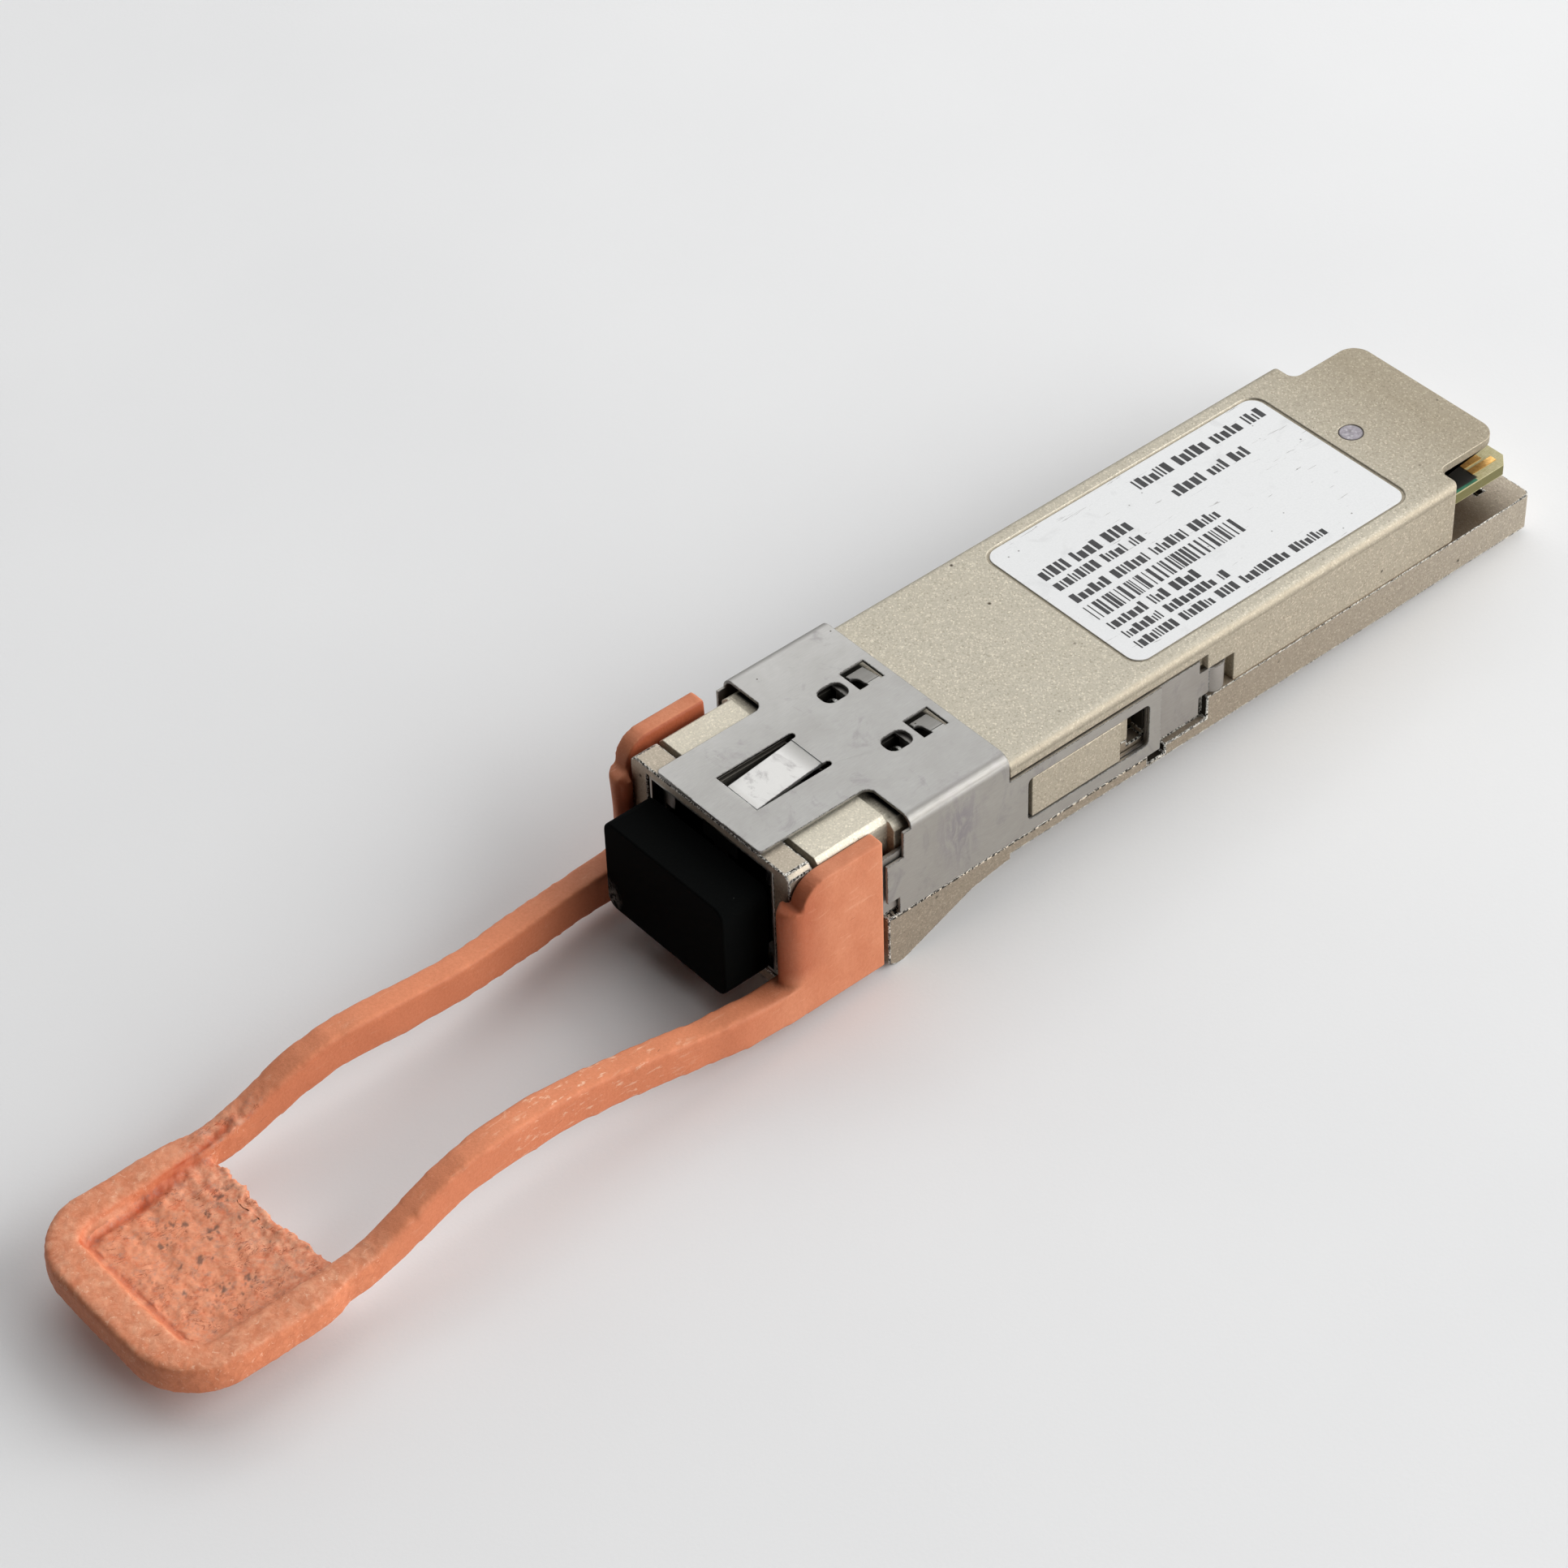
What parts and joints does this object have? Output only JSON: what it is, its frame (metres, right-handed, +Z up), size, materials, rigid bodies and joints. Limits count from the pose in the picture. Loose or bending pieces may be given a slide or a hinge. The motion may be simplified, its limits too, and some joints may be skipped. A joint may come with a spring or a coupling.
{
  "type": "optical transceiver module",
  "caption": "Pluggable optical transceiver with a duplex fibre port, card-edge contacts, a sprung side latch with a soft pull tab, and a dust plug.",
  "frame": {"origin": "centre of the flat heat sink face on the underside of the body", "axes": "+X runs along the body towards the fibre port and pull tab, +Y is across the body, +Z points up out of the label face"},
  "size_m": [0.1174, 0.0186, 0.0124],
  "materials": {
    "lower_shell": "matte nickel plate over die-cast zinc, fine sparkle",
    "upper_shell": "matte champagne nickel plate over die-cast zinc, fine sparkle",
    "sleeve_steel": "satin stainless sheet",
    "label_stock": "white matte label stock with grey printed blocks",
    "screw_steel": "plain steel",
    "seal_filler": "speckled grey-lilac sealing compound",
    "circuit_board": "green solder mask on glass laminate",
    "gold_contact": "hard gold plate",
    "chip_package": "black moulding compound",
    "capacitor_ceramic": "tan fired ceramic",
    "thermal_pad": "soft grey-blue gap pad",
    "conductive_gasket": "silver-filled elastomer",
    "gold_optics": "gold-plated package",
    "flex_circuit": "amber polyimide film",
    "barrel_steel": "turned stainless steel",
    "zirconia": "polished zirconia",
    "clamp_metal": "machined aluminium",
    "port_metal": "plated port insert",
    "slider_steel": "satin stainless sheet",
    "spring_wire": "bright spring wire",
    "tab_rubber": "matte salmon thermoplastic rubber with scuffs",
    "plug_rubber": "matte near-black rubber"
  },
  "bodies": {
    "module": {"base_shell": "lower_shell", "label_cover": "upper_shell", "emi_sleeve": "sleeve_steel", "product_label": "label_stock", "cover_screw": "screw_steel", "screw_seal": "seal_filler", "main_board": "circuit_board", "card_contacts_top": "gold_contact", "card_contacts_bottom": "gold_contact", "controller_chip": "chip_package", "driver_chip": "chip_package", "receiver_chip": "chip_package", "board_capacitors": "capacitor_ceramic", "thermal_pads": "thermal_pad", "seam_gaskets": "conductive_gasket", "transmitter_assembly": "gold_optics", "receiver_assembly": "gold_optics", "transmitter_flex": "flex_circuit", "receiver_flex": "flex_circuit", "tx_receptacle": "barrel_steel", "rx_receptacle": "barrel_steel", "fibre_stubs": "zirconia", "optics_clamp": "clamp_metal", "port_gasket": "conductive_gasket", "lc_port_frame": "port_metal", "latch_spring_left": "spring_wire", "latch_spring_right": "spring_wire"},
    "latch": {"latch_slider": "slider_steel", "pull_tab": "tab_rubber"},
    "dust_plug": {"dust_plug": "plug_rubber"}
  },
  "joints": [
    {"name": "latch_slide", "type": "slide", "parent": "module", "child": "latch", "axis": [1, 0, 0], "range_m": [0, 0.0025], "stiffness_N_per_m": 1200, "deforming": ["latch_spring_left", "latch_spring_right"]},
    {"name": "dust_plug_slide", "type": "slide", "parent": "module", "child": "dust_plug", "axis": [1, 0, 0], "range_m": [0, 0.007]}
  ]
}
